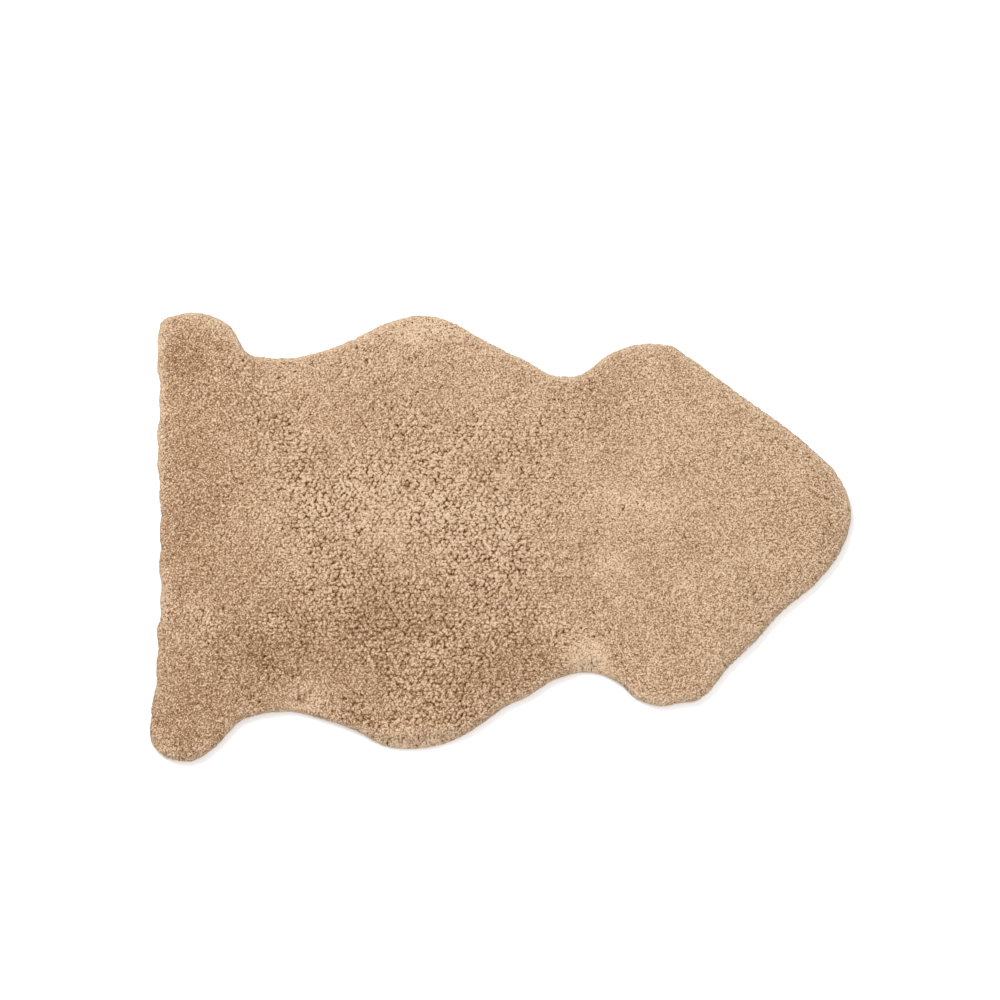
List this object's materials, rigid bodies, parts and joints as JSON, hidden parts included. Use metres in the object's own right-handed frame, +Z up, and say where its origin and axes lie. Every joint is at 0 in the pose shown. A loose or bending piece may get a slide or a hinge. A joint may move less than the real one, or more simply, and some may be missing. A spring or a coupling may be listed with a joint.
{
  "type": "sheepskin rug",
  "caption": "Shorn sheepskin rug lying flat: one pelt with hind tabs, waist, shoulders and a blunt neck, its dense curled wool in short locks round the rim.",
  "frame": {"origin": "middle of the pelt's length and width, on its flat underside", "axes": "+X along the back from the hind end to the neck, +Y to the pelt's left flank, +Z up out of the wool"},
  "size_m": [0.9332, 0.6318, 0.0315],
  "materials": {
    "wool": "dense curled wool pile, shorn to an even height, warm honey beige",
    "suede": "tanned skin side, napped suede, pale tan"
  },
  "bodies": {
    "root": {"pelt": "wool"}
  },
  "joints": []
}
